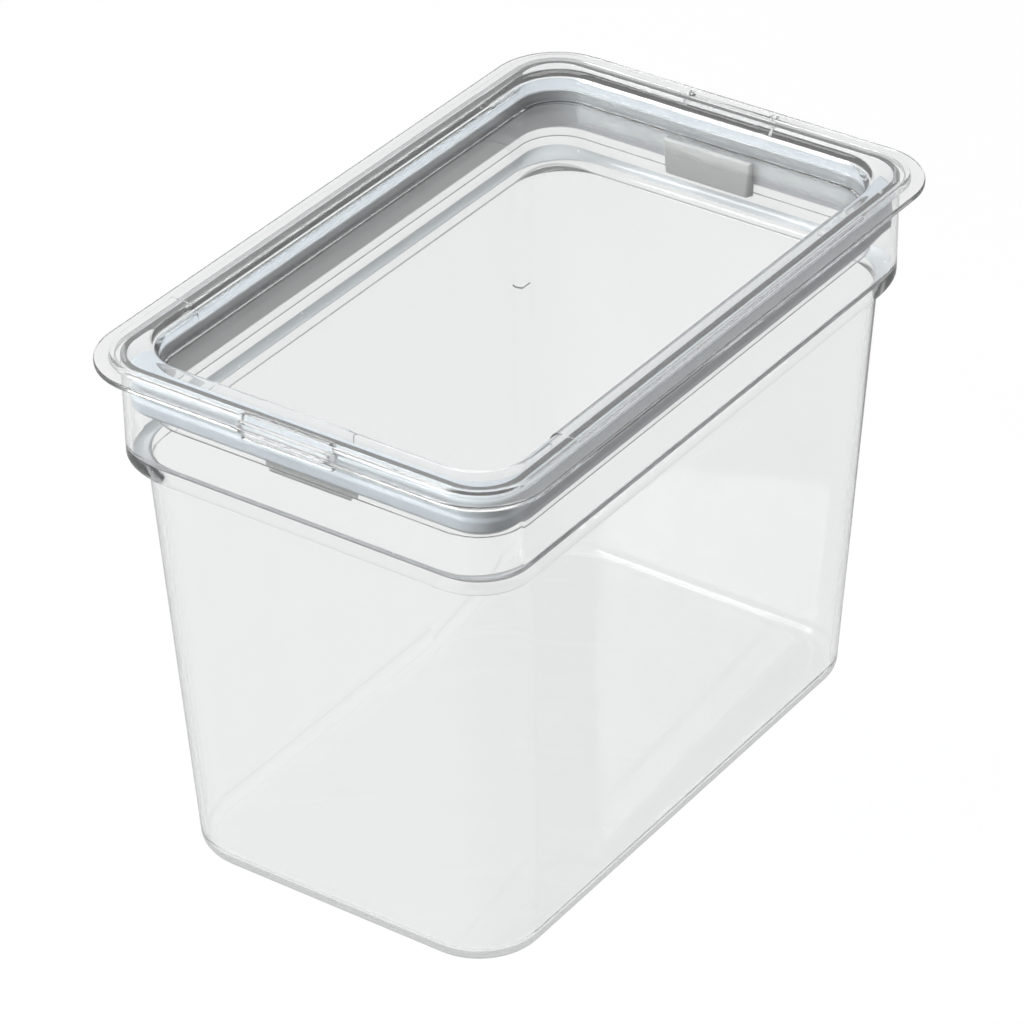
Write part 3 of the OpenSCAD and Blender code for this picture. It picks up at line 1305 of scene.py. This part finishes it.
@dataclass(frozen=True)
class Lamp:
    """A soft rectangular lamp.

    Attributes:
        name: the lamp's name.
        place: where it hangs, in millimetres.
        span: its width and height, in millimetres.
        power: its power in watts.
        aim: the point it is turned to, in millimetres.
    """

    name: str
    place: Triple
    span: tuple[float, float]
    power: float
    aim: Triple = (0.0, 0.0, 100.0)

    def build(self) -> None:
        """Hangs the lamp."""
        data = bpy.data.lights.new(self.name, "AREA")
        data.shape = "RECTANGLE"
        data.size, data.size_y = self.span[0] * MM, self.span[1] * MM
        data.energy = self.power
        lamp = bpy.data.objects.new(self.name, data)
        bpy.context.scene.collection.objects.link(lamp)
        spot = Vector(self.place) * MM
        lamp.location = spot
        lamp.rotation_mode = "QUATERNION"
        lamp.rotation_quaternion = (Vector(self.aim) * MM - spot).to_track_quat("-Z", "Y")


@dataclass
class Studio:
    """Pale floor, soft light and the photograph's camera, in millimetres.

    Attributes:
        eye: the camera's place.
        aim: the point it looks at.
        roll: its roll in degrees.
        lens: its focal length.
        sensor: its sensor's width.
        reach: nearest and furthest distance it sees, in metres.
        floor_span: side of the square floor.
        paper: the floor's grey.
        paper_glow: share of the floor that is white by itself to what looks at it.
        paper_gloss: share of that white that a reflection shows.
        sky: brightness of the surround as a light.
        horizon: directions' Z between which the surround darkens upwards.
        ceiling: brightness of the surround overhead, as seen.
        room_gloss: brightness of the surround in a reflection.
        lamps: the lamps.
    """

    eye: Triple = (752.2, -1079.9, 939.3)
    aim: Triple = (-23.05, 26.11, 69.75)
    roll: float = -0.779
    lens: float = 172.4
    sensor: float = 36.0
    reach: tuple[float, float] = (0.05, 50.0)
    floor_span: float = 6000.0
    paper: float = 0.86
    paper_glow: float = 0.9
    paper_gloss: float = 0.6
    sky: float = 0.42
    horizon: tuple[float, float] = (0.1, 0.7)
    ceiling: float = 0.45
    room_gloss: float = 0.5
    lamps: tuple[Lamp, ...] = (
        Lamp("key", (-900, -1300, 1300), (900, 900), 32.0),
        Lamp("overhead", (-200, 500, 1900), (1500, 900), 14.0),
    )

    def set_camera(self) -> None:
        """Makes the camera at the photograph's place."""
        data = bpy.data.cameras.new("camera")
        data.lens = self.lens
        data.sensor_width = self.sensor
        data.clip_start, data.clip_end = self.reach
        camera = bpy.data.objects.new("camera", data)
        bpy.context.scene.collection.objects.link(camera)
        forward = (Vector(self.aim) - Vector(self.eye)).normalized()
        right = forward.cross(Vector((0, 0, 1))).normalized()
        up = right.cross(forward)
        roll = math.radians(self.roll)
        turned_right = right * math.cos(roll) + up * math.sin(roll)
        turned_up = up * math.cos(roll) - right * math.sin(roll)
        frame = Matrix((turned_right, turned_up, -forward)).transposed()
        camera.matrix_world = Matrix.Translation(Vector(self.eye) * MM) @ frame.to_4x4()
        bpy.context.scene.camera = camera

    def lay_floor(self) -> None:
        """Lays the pale floor, which keeps the object's shadow."""
        sheet = bmesh.new()
        bmesh.ops.create_grid(sheet, x_segments=1, y_segments=1, size=self.floor_span * MM / 2)
        data = bpy.data.meshes.new("floor")
        sheet.to_mesh(data)
        sheet.free()
        floor = bpy.data.objects.new("floor", data)
        bpy.context.scene.collection.objects.link(floor)
        data.materials.append(self.paper_material())

    @staticmethod
    def looked_at(nodes: Nodes, gloss: float) -> bpy.types.NodeSocket:
        """Wires a mask of what looks, straight or by gloss or through clear plastic.

        Args:
            nodes: the tree to wire it in.
            gloss: how much of the white a reflection shows.

        Returns:
            A value that is 1 for a straight look and 0 for light that falls on a matte surface.
        """
        path = nodes.add("ShaderNodeLightPath").outputs
        straight = nodes.math("MAXIMUM", path["Is Camera Ray"], path["Is Transmission Ray"])
        mirrored = nodes.math("MULTIPLY", path["Is Glossy Ray"], gloss)
        seen = nodes.math("MAXIMUM", straight, mirrored)
        first = nodes.math("LESS_THAN", path["Diffuse Depth"], 0.5)
        return nodes.math("MULTIPLY", seen, first)

    def paper_material(self) -> bpy.types.Material:
        """Builds the floor's paper.

        Returns:
            A material that is mostly white by itself to what looks at it, and lit for the rest.
        """
        material = bpy.data.materials.new("paper")
        nodes = Nodes.of(material)
        grey = (self.paper, self.paper, self.paper, 1.0)
        lit = nodes.add("ShaderNodeBsdfDiffuse", {"Color": grey})
        glow = nodes.add("ShaderNodeEmission", {"Color": (1.0, 1.0, 1.0, 1.0), "Strength": 1.0})
        dark = nodes.add("ShaderNodeBsdfTransparent", {"Color": (0.0, 0.0, 0.0, 1.0)})
        share = nodes.math("MULTIPLY", self.looked_at(nodes, self.paper_gloss), self.paper_glow)
        gloss = nodes.add("ShaderNodeLightPath").outputs["Is Glossy Ray"]
        base = nodes.add("ShaderNodeMixShader", {0: gloss, 1: lit.outputs[0], 2: dark.outputs[0]})
        mix = nodes.add("ShaderNodeMixShader", {0: share, 1: base.outputs[0], 2: glow.outputs[0]})
        nodes.add("ShaderNodeOutputMaterial", {"Surface": mix.outputs[0]})
        return material

    def set_world(self) -> None:
        """Sets a surround that is white behind the object and darker above it."""
        world = bpy.data.worlds.new("surround")
        bpy.context.scene.world = world
        nodes = Nodes.of(world)
        direction = nodes.add("ShaderNodeTexCoord").outputs["Generated"]
        height = nodes.add("ShaderNodeSeparateXYZ", {0: direction}).outputs["Z"]
        room = nodes.add(
            "ShaderNodeMapRange",
            {
                "Value": height,
                "From Min": self.horizon[0],
                "From Max": self.horizon[1],
                "To Min": 1.0,
                "To Max": self.ceiling,
            },
            interpolation_type="SMOOTHSTEP",
        ).outputs[0]
        path = nodes.add("ShaderNodeLightPath").outputs
        mirrored = nodes.add(
            "ShaderNodeMapRange",
            {"Value": path["Is Glossy Ray"], "To Min": room, "To Max": self.room_gloss},
        ).outputs[0]
        seen = nodes.math("MAXIMUM", mirrored, path["Is Camera Ray"])
        level = nodes.add(
            "ShaderNodeMapRange",
            {"Value": self.looked_at(nodes, 1.0), "To Min": self.sky, "To Max": seen},
        )
        back = nodes.add(
            "ShaderNodeBackground", {"Color": (1.0, 1.0, 1.0, 1.0), "Strength": level.outputs[0]}
        )
        nodes.add("ShaderNodeOutputWorld", {"Surface": back.outputs[0]})

    def build(self) -> None:
        """Sets the whole stage."""
        bpy.context.scene.view_settings.view_transform = "Standard"
        self.set_camera()
        self.lay_floor()
        self.set_world()
        for lamp in self.lamps:
            lamp.build()
        LOG.info("studio: camera with a %.0f mm lens, floor, surround and lamps", self.lens)


def main() -> None:
    """Builds every piece round the frame."""
    logging.basicConfig(level=logging.INFO, format="%(name)s: %(message)s")
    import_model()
    vessel = Bin()
    lid = Lid()
    vessel.build()
    lid.build()
    Seal(lid=lid).build()
    for side in Side:
        Clip(lid=lid, side=side).build()
    Studio().build()


if __name__ == "__main__":
    main()
